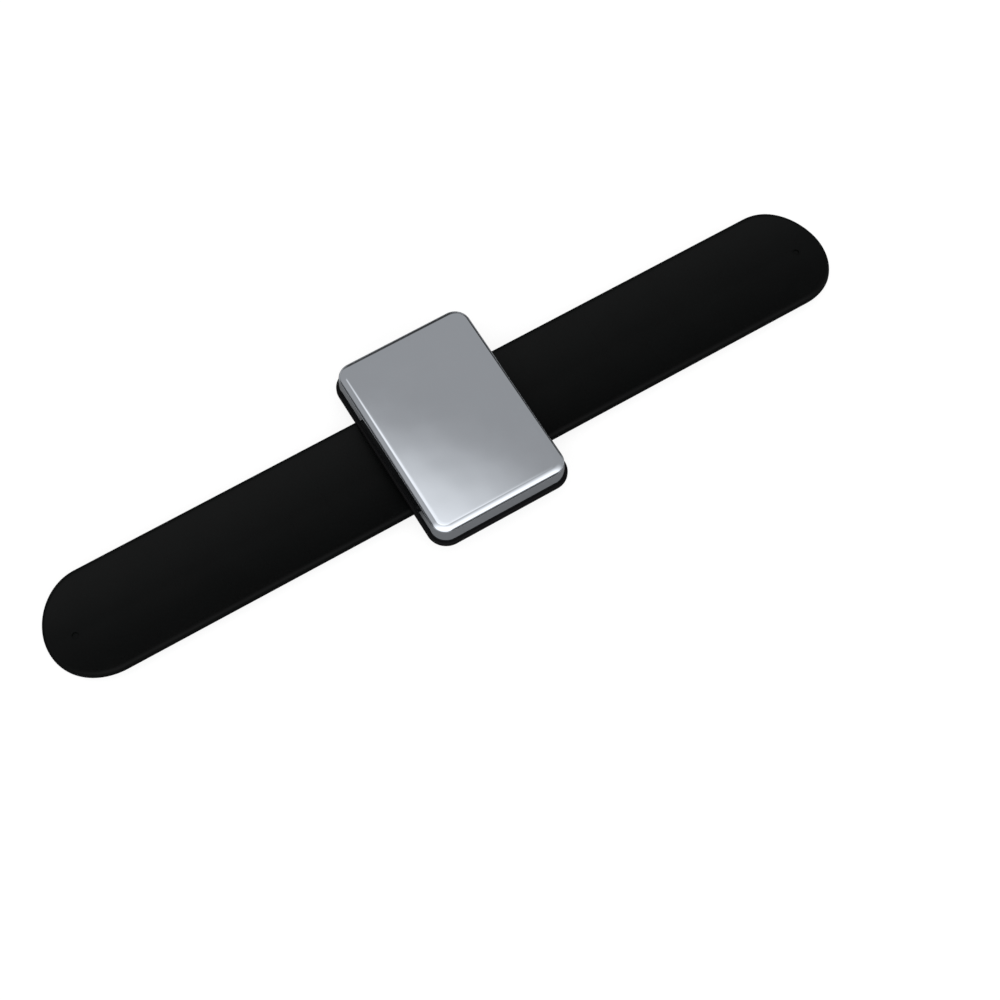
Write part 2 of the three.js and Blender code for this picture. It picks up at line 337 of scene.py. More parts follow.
@dataclass(frozen=True)
class BackdropPaper:
    """Seamless backdrop paper, lit to white: dead matt, with the part's soft shade on it."""

    name: str = "backdrop_paper_white"
    colour: str = "#828282"
    lift: float = 0.83
    # What lies nearer to a mirror than this keeps its contact shade in it.
    shade_reach: tuple[float, float] = (0.12, 0.3)

    def build(self) -> bpy.types.Material:
        """Makes the material. The eye sees it lifted to white, as do mirror and glass from afar.

        Returns:
            The material.
        """
        material, tree, _ = new_material(self.name)
        path = add_node(tree, "ShaderNodeLightPath").outputs
        bounced = add_node(tree, "ShaderNodeMath", {
            0: path["Is Glossy Ray"], 1: path["Is Transmission Ray"]}, operation="MAXIMUM")
        far = add_node(tree, "ShaderNodeMapRange", {
            "Value": path["Ray Length"], "From Min": self.shade_reach[0],
            "From Max": self.shade_reach[1]}, interpolation_type="SMOOTHSTEP")
        bounced = add_node(tree, "ShaderNodeMath", {0: bounced, 1: far}, operation="MULTIPLY")
        seen = add_node(tree, "ShaderNodeMath", {0: path["Is Camera Ray"], 1: bounced},
                        operation="MAXIMUM")
        lift = add_node(tree, "ShaderNodeMath", {0: seen, 1: self.lift}, operation="MULTIPLY")
        paper = add_node(tree, "ShaderNodeBsdfDiffuse", {"Color": linear(self.colour)})
        glow = add_node(tree, "ShaderNodeEmission", {"Color": (1, 1, 1, 1), "Strength": lift})
        both = add_node(tree, "ShaderNodeAddShader", {0: paper, 1: glow})
        # From below it is clear, so that the underside can be looked at.
        below = add_node(tree, "ShaderNodeNewGeometry").outputs["Backfacing"]
        clear = add_node(tree, "ShaderNodeBsdfTransparent")
        sided = add_node(tree, "ShaderNodeMixShader", {0: below, 1: both, 2: clear})
        add_node(tree, "ShaderNodeOutputMaterial", {"Surface": sided})
        return material


@dataclass(frozen=True)
class PaintedReflectionFlag:
    """The studio's flags, seen only by mirrors: a painted dark reflection, darkest at the foot,
    that gives bright metal soft dark edges.
    """

    name: str = "felt_dip_dyed_grey"
    reflection_dark: str = "#2c2c2c"
    reflection_grey: str = "#c0c0c0"
    pale: str = "#f0f0f0"
    # The attribute that holds the share of painted dark reflection at each point.
    dye: str = "dye"
    # The heights between which the painted dark reflection turns pale, and how much they rise per
    # metre rearwards.
    fade: tuple[float, float] = (0.11, 0.26)
    rise: float = 0.2

    def build(self) -> bpy.types.Material:
        """Makes the material.

        Returns:
            The material.
        """
        material, tree, place = new_material(self.name)
        height = add_node(tree, "ShaderNodeVectorMath", {0: place, 1: (0.0, -self.rise, 1.0)},
                          operation="DOT_PRODUCT")
        share = add_node(tree, "ShaderNodeMapRange", {
            "Value": height.outputs["Value"], "From Min": self.fade[0], "From Max": self.fade[1]})
        dye = add_node(tree, "ShaderNodeAttribute", attribute_name=self.dye).outputs["Fac"]
        # Painted dark reflection: dark at the panels' feet, grey elsewhere, pale higher up.
        foot = add_node(tree, "ShaderNodeMix", {
            0: dye, 6: linear(self.reflection_grey), 7: linear(self.reflection_dark)}, data_type="RGBA")
        colour = add_node(tree, "ShaderNodeMix", {
            0: share, 6: foot.outputs[2], 7: linear(self.pale)}, data_type="RGBA")
        flag_surface = add_node(tree, "ShaderNodeBsdfDiffuse", {"Color": colour.outputs[2]})
        add_node(tree, "ShaderNodeOutputMaterial", {"Surface": flag_surface})
        return material


def put_in_scene(name: str, mesh: bpy.types.Mesh) -> bpy.types.Object:
    """Puts a mesh in the scene as an object at the origin.

    Args:
        name: The object's name.
        mesh: Its mesh, in place.

    Returns:
        The object.
    """
    mesh.name = name
    piece = bpy.data.objects.new(name, mesh)
    bpy.context.scene.collection.objects.link(piece)
    return piece


def baked(piece: bpy.types.Object) -> bpy.types.Object:
    """Turns what the piece's modifiers give into its plain mesh, and takes them off.

    Args:
        piece: An object with live modifiers.

    Returns:
        The same object.
    """
    depsgraph = bpy.context.evaluated_depsgraph_get()
    mesh = bpy.data.meshes.new_from_object(piece.evaluated_get(depsgraph), depsgraph=depsgraph)
    mesh.name = piece.name
    piece.modifiers.clear()
    piece.data = mesh
    return piece


def smooth(mesh: bpy.types.Mesh) -> None:
    """Shades a mesh smooth, with its sharp edges kept."""
    mesh.shade_smooth()
    mesh.set_sharp_from_angle(angle=math.radians(SHARP_DEG))


@dataclass(frozen=True)
class Level:
    """One ring of a loft: how far it is drawn in from the outline, and its height."""

    inset: float
    z: float


def edge_round(reach: float, drop: float, inset: float, z: float, steps: int) -> list[Level]:
    """Rolls an edge from a face out to its wall, as a quarter of an ellipse.

    Args:
        reach: How far the roll reaches into the face.
        drop: How far it runs along the wall. Below 0, the wall goes down from the face.
        inset: The wall's own inset.
        z: The face's height.
        steps: How many flats stand for the roll.

    Returns:
        The levels, face first.
    """
    angles = [math.pi / 2 * step / steps for step in range(steps + 1)]
    return [Level(inset + reach * (1 - math.sin(a)), z + drop * (1 - math.cos(a))) for a in angles]


@dataclass(frozen=True)
class RoundedPlan:
    """A rectangle with round corners, from which rings are drawn in."""

    length_x: float
    length_y: float
    corner: float
    steps: int = 20

    def ring(self, level: Level) -> list[Vector]:
        """Draws one ring, anticlockwise from above.

        Args:
            level: The ring's inset and height.

        Returns:
            The ring's points.
        """
        corner = max(self.corner - level.inset, LEAST_CORNER)
        x = self.length_x / 2 - level.inset - corner
        y = self.length_y / 2 - level.inset - corner
        points = []
        for quarter, (cx, cy) in enumerate(((x, y), (-x, y), (-x, -y), (x, -y))):
            for step in range(self.steps + 1):
                angle = (quarter + step / self.steps) * math.pi / 2
                place = (cx + corner * math.cos(angle), cy + corner * math.sin(angle), level.z)
                points.append(Vector(place))
        return points


def loft(name: str, rings: Sequence[Sequence[Vector]]) -> bpy.types.Object:
    """Skins a row of rings and closes both ends.

    Args:
        name: The object's name.
        rings: Rings with equal counts, each anticlockwise from above.

    Returns:
        The closed object.
    """
    count = len(rings[0])
    points = [point for ring in rings for point in ring]
    faces = [tuple(reversed(range(count)))]
    for row in range(len(rings) - 1):
        for i in range(count):
            a, b = row * count + i, row * count + (i + 1) % count
            faces.append((a, b, b + count, a + count))
    faces.append(tuple(range(len(points) - count, len(points))))
    mesh = bpy.data.meshes.new(name)
    mesh.from_pydata(points, [], faces)
    mesh.validate()
    smooth(mesh)
    return put_in_scene(name, mesh)


@dataclass(frozen=True)
class Dish:
    """The middle surface of strap and spring: a flat along it, and an arc on each side."""

    radius: float = 29.954 * MM
    flat: float = 2.4 * MM
    middle_height: float = 1.2 * MM


@dataclass
class StripTree:
    """A node tree that makes one length of a dished strip, straight or with a round end."""

    name: str = "dished_length"
    around: int = 144
    crease_deg: float = 42
    # The pin's mark: its sides, its cutter's and rim's depths in depths of the mark, and the radii
    # of the rim's foot and top in radii of the mark.
    mark_sides: int = 40
    cutter_depth: float = 2.0
    rim_depth: float = 0.5
    rim_radii: tuple[float, float] = (0.9, 1.2544)
    # The circle's points within this of its level middle lie between the strip's two faces.
    face_change: float = 0.001
    inputs: dict[str, str] = field(default_factory=dict)
    tree: bpy.types.NodeTree | None = None

    # The tree's inputs.
    NUMBERS = ("Width", "Thickness", "Edge Round", "Dish Radius", "Dish Flat", "Middle Height",
               "Near", "Bend Near", "Bend Far", "Knee", "End Sweep", "Knee Share", "Side",
               "Mark Place", "Mark Radius", "Mark Depth", "Top")
    OTHERS = (("Rows", "NodeSocketInt"), ("Pin Mark", "NodeSocketBool"),
              ("Material", "NodeSocketMaterial"))

    def build(self) -> None:
        """Makes the tree, with a named input for each size."""
        tree = bpy.data.node_groups.new(self.name, "GeometryNodeTree")
        self.tree = tree
        tree.interface.new_socket("Geometry", in_out="OUTPUT", socket_type="NodeSocketGeometry")
        for label, kind in (*((label, "NodeSocketFloat") for label in self.NUMBERS), *self.OTHERS):
            socket = tree.interface.new_socket(label, in_out="INPUT", socket_type=kind)
            self.inputs[label] = socket.identifier
        given = add_node(tree, "NodeGroupInput").outputs
        tube = add_node(tree, "GeometryNodeMeshCylinder", {
            "Vertices": self.around, "Side Segments": given["Rows"], "Radius": 1.0, "Depth": 1.0},
            fill_type="NGON")
        strip = add_node(tree, "GeometryNodeSetPosition", {
            "Geometry": tube.outputs["Mesh"], "Position": self.surface(given)})
        marked = self.with_pin_mark(given, strip)
        turn = add_node(tree, "GeometryNodeInputMeshEdgeAngle").outputs["Unsigned Angle"]
        crease = add_node(tree, "FunctionNodeCompare", {0: turn, 1: math.radians(self.crease_deg)},
                          data_type="FLOAT", operation="GREATER_THAN")
        smoothed = add_node(tree, "GeometryNodeSetShadeSmooth", {
            "Geometry": marked, "Shade Smooth": True})
        creased = add_node(tree, "GeometryNodeSetShadeSmooth", {
            "Geometry": smoothed, "Selection": crease, "Shade Smooth": False}, domain="EDGE")
        real = add_node(tree, "GeometryNodeRealizeInstances", {"Geometry": creased})
        dressed = add_node(tree, "GeometryNodeSetMaterial", {
            "Geometry": real, "Material": given["Material"]})
        add_node(tree, "NodeGroupOutput", {"Geometry": dressed})

    def surface(self, given: Any) -> bpy.types.Node:
        """Lays the tube's rows along the strip and its circle round the strip's section.

        Args:
            given: The tree's inputs.

        Returns:
            The node that gives each point's place.
        """
        tree = self.tree
        position = add_node(tree, "GeometryNodeInputPosition")
        spot = add_node(tree, "ShaderNodeSeparateXYZ", {0: position}).outputs
        # The tube is 1 long and centred, so its rows run from 0 to 1.
        row = add_node(tree, "ShaderNodeMath", {0: spot["Z"], 1: 0.5}, operation="ADD")
        # Along the strip: a row at each end of the bend and at the knee, then angles round the end.
        share = add_node(tree, "ShaderNodeMapRange", {
            "Value": row, "From Max": given["Knee Share"]})
        along = given["Near"]
        stops = ("Bend Near", "Bend Far", "Knee")
        for i, stop in enumerate(stops):
            along = add_node(tree, "ShaderNodeMapRange", {
                "Value": share, "From Min": i / len(stops), "From Max": (i + 1) / len(stops),
                "To Min": along, "To Max": given[stop]})
        sweep = add_node(tree, "ShaderNodeMapRange", {
            "Value": row, "From Min": given["Knee Share"], "To Max": given["End Sweep"]})
        face = add_node(tree, "ShaderNodeMapRange", {
            "Value": spot["Y"], "From Min": -self.face_change, "From Max": self.face_change,
            "To Min": -1.0, "To Max": 1.0})
        known: dict[Any, Any] = {label: given[label] for label in self.NUMBERS}
        known |= {"along": along, "sweep": sweep, "face": face, "circle": spot["X"]}
        # Each line names a value and gives the operation and terms that it comes from.
        lines = (
            ("radius", "MULTIPLY", "Width", 0.5),
            ("sine", "SINE", "sweep"),
            ("cosine", "COSINE", "sweep"),
            ("past", "MULTIPLY", "radius", "sine"),
            ("x", "ADD", "along", "past"),
            ("x", "MULTIPLY", "x", "Side"),
            ("half", "MULTIPLY", "radius", "cosine"),
            ("half", "MULTIPLY", "half", "Side"),
            ("y", "MULTIPLY", "half", "circle"),
            # Through the strip: the thickness, less what the edge round takes near the outline.
            ("past_square", "MULTIPLY", "past", "past"),
            ("reach", "MULTIPLY", "y", "y"),
            ("reach", "ADD", "past_square", "reach"),
            ("reach", "SQRT", "reach"),
            ("flat", "SUBTRACT", "radius", "Edge Round"),
            ("into", "SUBTRACT", "reach", "flat"),
            ("into", "MAXIMUM", "into", 0.0),
            ("into", "MINIMUM", "into", "Edge Round"),
            ("square", "POWER", "Edge Round", 2.0),
            ("taken", "POWER", "into", 2.0),
            ("left", "SUBTRACT", "square", "taken"),
            ("bulge", "SQRT", "left"),
            ("skin", "MULTIPLY", "Thickness", 0.5),
            ("core", "SUBTRACT", "skin", "Edge Round"),
            ("depth", "ADD", "core", "bulge"),
            ("offset", "MULTIPLY", "depth", "face"),
            # Across the strip: a flat along the middle, then the arc of the dish.
            ("away", "ABSOLUTE", "y"),
            ("hand", "SIGN", "y"),
            ("middle", "MULTIPLY", "Dish Flat", 0.5),
            ("rise", "SUBTRACT", "away", "middle"),
            ("rise", "MAXIMUM", "rise", 0.0),
            ("slope", "DIVIDE", "rise", "Dish Radius"),
            ("lean", "POWER", "slope", 2.0),
            ("lean", "SUBTRACT", 1.0, "lean"),
            ("lean", "SQRT", "lean"),
            ("shift", "MULTIPLY", "offset", "slope"),
            ("shift", "MULTIPLY", "shift", "hand"),
            ("y", "SUBTRACT", "y", "shift"),
            ("lift", "SUBTRACT", 1.0, "lean"),
            ("lift", "MULTIPLY", "lift", "Dish Radius"),
            ("lift", "ADD", "lift", "Middle Height"),
            ("up", "MULTIPLY", "offset", "lean"),
            ("z", "ADD", "lift", "up"),
        )
        for name, operation, *terms in lines:
            sockets = {i: known.get(term, term) for i, term in enumerate(terms)}
            known[name] = add_node(tree, "ShaderNodeMath", sockets, operation=operation)
        return add_node(tree, "ShaderNodeCombineXYZ", {axis.upper(): known[axis] for axis in "xyz"})

    def with_pin_mark(self, given: Any, strip: bpy.types.Node) -> bpy.types.Node:
        """Sinks the mould pin's round mark, with a soft rim, where it is asked for.

        Args:
            given: The tree's inputs.
            strip: The node that gives the bare strip.

        Returns:
            The node that gives the strip as it is asked for.
        """
        tree = self.tree
        shares = (("Mark Depth", self.cutter_depth), ("Mark Depth", self.rim_depth),
                  ("Mark Depth", self.rim_depth / 2), ("Mark Radius", self.rim_radii[0]),
                  ("Mark Radius", self.rim_radii[1]))
        deep, rim_deep, rim_middle, rim_foot, rim_top = (
            add_node(tree, "ShaderNodeMath", {0: given[label], 1: share}, operation="MULTIPLY")
            for label, share in shares)
        pin = add_node(tree, "GeometryNodeMeshCylinder", {
            "Vertices": self.mark_sides, "Radius": given["Mark Radius"], "Depth": deep},
            fill_type="NGON")
        rim = add_node(tree, "GeometryNodeMeshCone", {
            "Vertices": self.mark_sides, "Radius Top": rim_top, "Radius Bottom": rim_foot,
            "Depth": rim_deep}, fill_type="NGON")
        rim_z = add_node(tree, "ShaderNodeMath", {0: given["Top"], 1: rim_middle},
                         operation="SUBTRACT")
        cut = strip
        for cutter, z in ((pin, given["Top"]), (rim, rim_z)):
            spot = add_node(tree, "ShaderNodeCombineXYZ", {"X": given["Mark Place"], "Z": z})
            placed = add_node(tree, "GeometryNodeTransform", {
                "Geometry": cutter.outputs["Mesh"], "Translation": spot})
            cut = add_node(tree, "GeometryNodeMeshBoolean", {"Mesh 1": cut, "Mesh 2": placed},
                           operation="DIFFERENCE")
        return add_node(tree, "GeometryNodeSwitch", {
            "Switch": given["Pin Mark"], "False": strip, "True": cut}, input_type="GEOMETRY")

    def make(self, name: str, values: dict[str, Any]) -> bpy.types.Object:
        """Makes one length as a plain mesh.

        Args:
            name: The object's name.
            values: The tree's inputs by label.

        Returns:
            The length, in place.
        """
        piece = put_in_scene(name, bpy.data.meshes.new(name))
        modifier = piece.modifiers.new(self.name, "NODES")
        modifier.node_group = self.tree
        for label, value in values.items():
            modifier[self.inputs[label]] = value
        return baked(piece)


@dataclass
class Strip:
    """A dished strip along the whole band, in lengths from the middle of one link to the middle of
    the next.
    """

    label: str
    node_label: str
    slot: str
    finish: MouldedSilicone | SpringSteel
    length: float
    width: float
    thickness: float
    edge_round: float
    pin_marks: bool = False
    dish: Dish = Dish()
    past_rim: float = 0.05 * MM
    # Rows up to the knee: the bend's two ends and the knee itself.
    straight_rows: int = 3
    end_rows: int = 44
    # Short of a quarter turn, so that the tip keeps a narrow face.
    end_sweep: float = math.radians(89)
    mark_from_end: float = 7.8 * MM
    mark_radius: float = 0.95 * MM
    mark_depth: float = 0.4 * MM
    seam: float = 0.01 * MM

    def build(self, tree: StripTree) -> list[bpy.types.Object]:
        """Makes the middle, riding on the core, and the lengths of both arms.

        Args:
            tree: The node tree that shapes a length.

        Returns:
            The pieces.
        """
        material = self.finish.build()
        edge = self.rim_edge()
        bend = (-edge / 2, edge / 2)
        middle = tree.make(f"{self.label}_core", self.values(material, -edge, edge, bend, 1))
        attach(middle, "core")
        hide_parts(f"{self.node_label}_core")
        pieces = [middle]
        for arm in Arm:
            pieces += self.build_arm(arm, tree, material)
        return pieces

    def rim_edge(self) -> float:
        """Gives the place along the strap just past the tray's rim, where the arms begin."""
        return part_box("tray")[1].x + self.past_rim

    def build_arm(self, arm: Arm, tree: StripTree,
                  material: bpy.types.Material) -> list[bpy.types.Object]:
        """Makes one arm's lengths, each from the middle of one link to the middle of the next.

        Args:
            arm: The arm.
            tree: The node tree that shapes a length.
            material: The strip's material.

        Returns:
            The lengths, from the tray outwards.
        """
        hinges = [j for j in frame["joints"] if j["name"].startswith(f"{arm.name.lower()}_curl_")]
        hinges.sort(key=lambda j: abs(j["pos_m"][0]))
        places = [abs(j["pos_m"][0]) for j in hinges]
        middles = [(a + b) / 2 for a, b in zip(places, places[1:])]
        starts = [self.rim_edge(), *middles]
        ends = [*middles, places[-1] + (places[-1] - places[-2]) / 2]
        pieces = []
        for joint, place, near, far in zip(hinges, places, starts, ends):
            # Chords across the corners, from quarter to quarter of a link, are nearest to an arc.
            reach = min((far - place) / 2, place - near - self.seam)
            bend = (place - reach, place + reach)
            cut = self.seam / 2
            values = self.values(material, near + cut, far - cut, bend, arm.value)
            if joint is hinges[-1]:
                values |= self.round_end()
            piece = tree.make(f"{self.label}_{joint['child']}", values)
            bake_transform(piece)
            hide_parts(f"{self.node_label}_{joint['child']}")
            pieces.append(piece)
        return pieces

    def values(self, material: bpy.types.Material, near: float, far: float,
               bend: tuple[float, float], side: int) -> dict[str, Any]:
        """Gives the tree's inputs for a length with two cut ends.

        Args:
            material: The strip's material.
            near: Where the length begins along its arm.
            far: Where it ends.
            bend: Where its bend begins and ends.
            side: The sign of the arm's side.

        Returns:
            The inputs by label.
        """
        return {
            "Width": self.width, "Thickness": self.thickness, "Edge Round": self.edge_round,
            "Dish Radius": self.dish.radius, "Dish Flat": self.dish.flat,
            "Middle Height": self.dish.middle_height, "Near": near, "Bend Near": bend[0],
            "Bend Far": bend[1], "Knee": far, "End Sweep": 0.0, "Knee Share": 1.0,
            "Side": float(side), "Rows": self.straight_rows, "Pin Mark": False,
            "Mark Place": side * (self.length / 2 - self.mark_from_end),
            "Mark Radius": self.mark_radius, "Mark Depth": self.mark_depth,
            "Top": self.dish.middle_height + self.thickness / 2, "Material": material,
        }

    def round_end(self) -> dict[str, Any]:
        """Gives the inputs of the last length that differ: its round end and the strap's pin mark.

        Returns:
            The inputs by label.
        """
        rows = self.straight_rows + self.end_rows
        return {"Knee": self.length / 2 - self.width / 2, "End Sweep": self.end_sweep,
                "Knee Share": self.straight_rows / rows, "Rows": rows, "Pin Mark": self.pin_marks}


@dataclass
class CoverPlate:
    """The drawn pan over the magnets, open below, with a rolled edge and walls that lean in."""

    finish: PlatedSteel = PlatedSteel()
    corner: float = 4.4 * MM
    draft: float = 0.3 * MM
    edge_reach: float = 2.2 * MM
    edge_drop: float = 1.2 * MM
    sheet: float = 0.6 * MM
    edge_steps: int = 28
    inner_steps: int = 12
    wall_steps: int = 6
    # Rings this far inside the roll keep the shading of the flat face flat.
    face_rings: tuple[float, float] = (0.4 * MM, 1.5 * MM)

    def build(self) -> bpy.types.Object:
        """Makes the pan, riding on the middle of the band.

        Returns:
            The pan.
        """
        low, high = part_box("cover_plate")
        top, foot = high.z, low.z
        inner = edge_round(self.edge_reach - self.sheet, self.sheet - self.edge_drop, self.sheet,
                           top - self.sheet, self.inner_steps)
        outer = edge_round(self.edge_reach, -self.edge_drop, 0, top, self.edge_steps)
        rise = top - self.edge_drop - foot
        wall = [Level(-self.draft + self.draft * step / self.wall_steps,
                      foot + rise * step / self.wall_steps) for step in range(self.wall_steps)]
        levels = [*inner, Level(self.sheet - self.draft, foot), *wall, *reversed(outer),
                  *(Level(self.edge_reach + inset, top) for inset in self.face_rings)]
        plan = RoundedPlan(high.x - low.x - 2 * self.draft, high.y - low.y - 2 * self.draft,
                           self.corner)
        plate = loft("cover_mirror", [plan.ring(level) for level in levels])
        plate.data.materials.append(self.finish.build())
        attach(plate, "core")
        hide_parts("cover_plate")
        return plate


@dataclass
class Tray:
    """The black tray: a rim round the cover, an upstand in it and a saddle in the strap's dish."""

    finish: MouldedAbs = MouldedAbs()
    dish: Dish = Dish()
    rim_thickness: float = 1.3 * MM
    rim_round: float = 0.25 * MM
    rim_over_strap: float = 0.25 * MM
    rim_underside: float = 4.0 * MM
    floor: float = 1.5 * MM
    upstand_inset: float = 1.9 * MM
    upstand_wall: float = 1.6 * MM
    bar_wall: float = 1.2 * MM
    bar_height: float = 2.0 * MM
    bar_corner: float = 0.1 * MM
    bar_corner_steps: int = 3
    saddle_setback: float = 3.0 * MM
    saddle_half_width: float = 12.75 * MM
    saddle_over_strap: float = 0.3 * MM
    saddle_steps: int = 32
    corner: float = 5.4 * MM
    round_steps: int = 10

    def build(self) -> bpy.types.Object:
        """Makes the tray, riding on the middle of the band.

        Returns:
            The tray.
        """
        low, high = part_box("tray")
        rim_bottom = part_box("strap_core")[1].z + self.rim_over_strap
        rim_top = rim_bottom + self.rim_thickness
        floor_top = rim_bottom + self.floor
        bay = self.upstand_inset + self.upstand_wall
        levels = [
            Level(self.rim_underside, rim_bottom),
            *edge_round(self.rim_round, self.rim_round, 0, rim_bottom, self.round_steps),
            *reversed(edge_round(self.rim_round, -self.rim_round, 0, rim_top, self.round_steps)),
            Level(self.upstand_inset, rim_top), Level(self.upstand_inset, high.z),
            Level(bay, high.z), Level(bay, floor_top),
        ]
        plan = RoundedPlan(high.x - low.x, high.y - low.y, self.corner)
        pan = loft("tray_rim", [plan.ring(level) for level in levels])
        half_bay = (high.x - low.x) / 2 - bay
        self.join(pan, self.saddle(high.x, rim_bottom))
        self.join(pan, self.bar(half_bay + self.upstand_wall / 2, floor_top))
        smooth(pan.data)
        pan.data.materials.append(self.finish.build())
        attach(pan, "core")
        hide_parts("tray")
        return pan

    def join(self, pan: bpy.types.Object, extra: bpy.types.Object) -> None:
        """Unites a block with the pan, and takes the block out of the scene.

        Args:
            pan: The pan, which grows.
            extra: The block, which goes.
        """
        modifier = pan.modifiers.new("unite", "BOOLEAN")
        modifier.operation = "UNION"
        modifier.solver = "EXACT"
        modifier.object = extra
        baked(pan)
        bpy.data.objects.remove(extra)

    def bar(self, reach: float, floor_top: float) -> bpy.types.Object:
        """Makes the bar that keeps the two magnets apart.

        Args:
            reach: How far it reaches to each side.
            floor_top: The height of the tray's floor.

        Returns:
            The bar.
        """
        plan = RoundedPlan(2 * reach, self.bar_wall, self.bar_corner, self.bar_corner_steps)
        levels = [Level(0, floor_top - self.floor / 2), Level(0, floor_top + self.bar_height)]
        return loft("tray_bar", [plan.ring(level) for level in levels])

    def saddle(self, rim_x: float, rim_bottom: float) -> bpy.types.Object:
        """Makes the block that fills the strap's dish, hollowed to the strap's upper face.

        Args:
            rim_x: How far the rim reaches along the strap.
            rim_bottom: The height of the rim's underside.

        Returns:
            The block.
        """
        reach = rim_x - self.saddle_setback
        # The strap's upper face lies as far over its middle surface as its underside lies below.
        inner = self.dish.radius - (self.dish.middle_height + self.saddle_over_strap)
        section = []
        for i in range(self.saddle_steps + 1):
            y = -self.saddle_half_width + 2 * self.saddle_half_width * i / self.saddle_steps
            rise = max(abs(y) - self.dish.flat / 2, 0)
            centre = self.dish.middle_height + self.dish.radius
            section.append((y, centre - math.sqrt(inner ** 2 - rise ** 2)))
        over = rim_bottom + self.floor / 2
        section += [(self.saddle_half_width, over), (-self.saddle_half_width, over)]
        rings = [[Vector((x, y, z)) for y, z in section] for x in (-reach, reach)]
        return loft("tray_saddle", rings)


@dataclass
class MagnetStack:
    """The magnets and tapes inside the tray. Their shapes are the frame's own."""

    ferrite: SinteredFerrite = SinteredFerrite()
    tape: FoamTape = FoamTape()

    def dress(self) -> list[bpy.types.Object]:
        """Gives the frame's own nodes their finishes.

        Returns:
            The dressed nodes.
        """
        ferrite, tape = self.ferrite.build(), self.tape.build()
        finishes = {f"magnet_{place.value}": ferrite for place in MagnetPlace}
        finishes |= {f"magnet_tape_{place.value}": tape for place in MagnetPlace}
        finishes["cover_tape"] = tape
        for name, material in finishes.items():
            mesh = frame["nodes"][name].data
            mesh.materials.clear()
            mesh.materials.append(material)
        return [frame["nodes"][name] for name in finishes]


@dataclass(frozen=True)
class SoftLight:
    """One soft oval light, laid out as a flat mirror shows it: by its direction's x and y."""

    centre: tuple[float, float]
    half_sizes: tuple[float, float]
    # The shares of its half size at which it is full and at which it ends.
    edge: tuple[float, float]
    level: float


@dataclass(frozen=True)
class FlagPanel:
    """One taller panel in the ring of flags, painted dark from its foot as a dark reflection for
    the metal.
    """

    # Degrees from +X.
    direction: float
    height: float
    # The share of the painted dark that is left at its upper edge.
    reflection_shade_left: float


